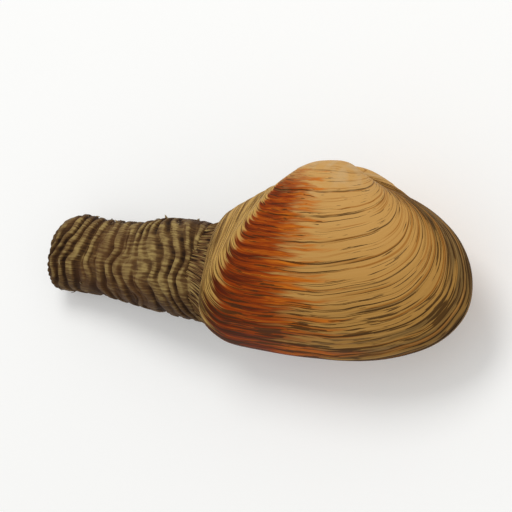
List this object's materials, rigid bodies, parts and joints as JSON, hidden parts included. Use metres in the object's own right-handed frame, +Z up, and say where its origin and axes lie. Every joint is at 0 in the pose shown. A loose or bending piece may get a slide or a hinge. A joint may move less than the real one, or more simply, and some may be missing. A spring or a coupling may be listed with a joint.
{
  "type": "gaper clam shell with siphon",
  "caption": "Shut two-valved clam shell lying on one side, blunt and gaping at the back, with a long wrinkled leathery siphon stretched out on the ground.",
  "frame": {"origin": "on the ground under the middle of the whole clam", "axes": "+X towards the front (anterior) end of the shell, away from the siphon; +Y towards the hinge side; +Z up, out through the right valve"},
  "size_m": [0.1322, 0.0498, 0.0355],
  "materials": {
    "shell": "tan, satin, with fine growth lines",
    "siphon_skin": "dark brown and khaki, wrinkled, matt",
    "ligament_horn": "dark brown, dull"
  },
  "bodies": {
    "root": {"right_valve": "shell", "left_valve": "shell", "siphon": "siphon_skin", "ligament": "ligament_horn"}
  },
  "joints": []
}
